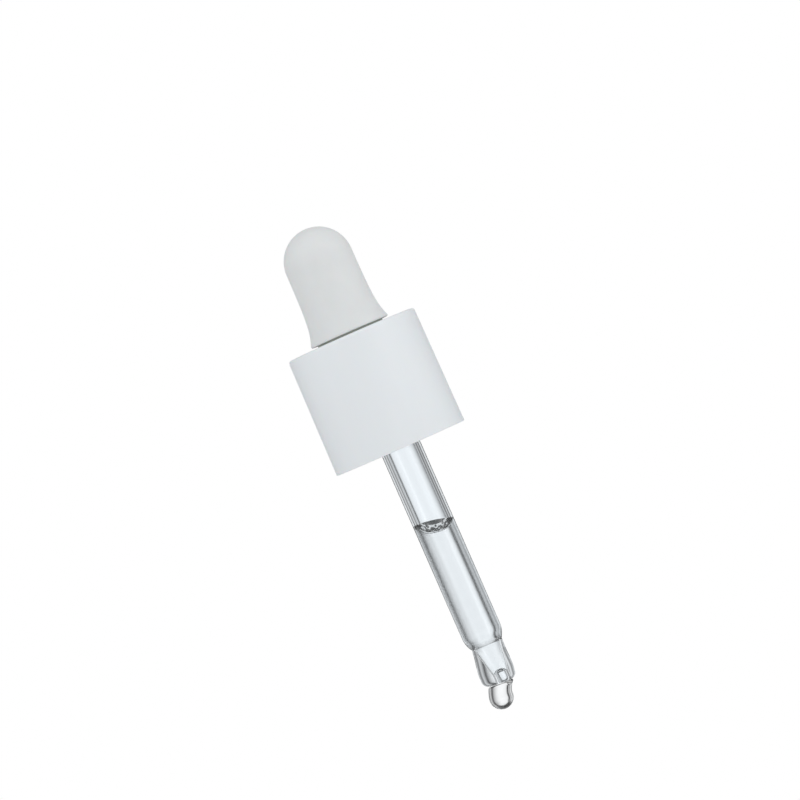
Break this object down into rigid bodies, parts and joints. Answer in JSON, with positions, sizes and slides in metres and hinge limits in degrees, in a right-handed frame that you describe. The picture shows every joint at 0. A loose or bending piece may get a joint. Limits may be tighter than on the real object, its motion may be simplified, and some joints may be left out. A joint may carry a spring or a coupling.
{
  "type": "dropper closure with pipette",
  "caption": "Dropper closure with a rubber squeeze bulb, a smooth screw collar and a glass pipette with a drawn, slightly bent tip, holding liquid and a hanging drop.",
  "frame": {"origin": "middle of the closure's open bottom rim, on the axis that the bottle's neck, the collar, the bulb and the pipette's tube share", "axes": "+Z along the axis, from the pipette's tip towards the bulb's crown; +X away from the side that the tip and the drop lean to; +Y completes the right-handed frame"},
  "size_m": [0.0234, 0.0234, 0.0877],
  "materials": {
    "collar_plastic": "satin",
    "closure_plastic": "satin",
    "gasket_foam": "matte",
    "bulb_rubber": "matte",
    "pipette_glass": "polished",
    "serum_liquid": "polished"
  },
  "bodies": {
    "closure": {"collar_shell": "collar_plastic", "threaded_closure": "closure_plastic", "neck_gasket": "gasket_foam"},
    "bulb": {"bulb": "bulb_rubber"},
    "pipette": {"pipette": "pipette_glass", "serum_drop": "serum_liquid"},
    "serum": {"serum_column": "serum_liquid"}
  },
  "joints": [
    {"name": "bulb_swivel", "type": "hinge", "parent": "closure", "child": "bulb", "pos_m": [0, 0, 0.021], "axis": [0, 0, 1], "continuous": true},
    {"name": "pipette_pull", "type": "slide", "parent": "bulb", "child": "pipette", "axis": [0, 0, -1], "range_m": [0, 0.024]},
    {"name": "bulb_squeeze", "type": "slide", "parent": "pipette", "child": "serum", "axis": [0, 0, -1], "range_m": [0, 0.018], "stiffness_N_per_m": 100, "deforming": ["serum_column", "bulb"]}
  ]
}
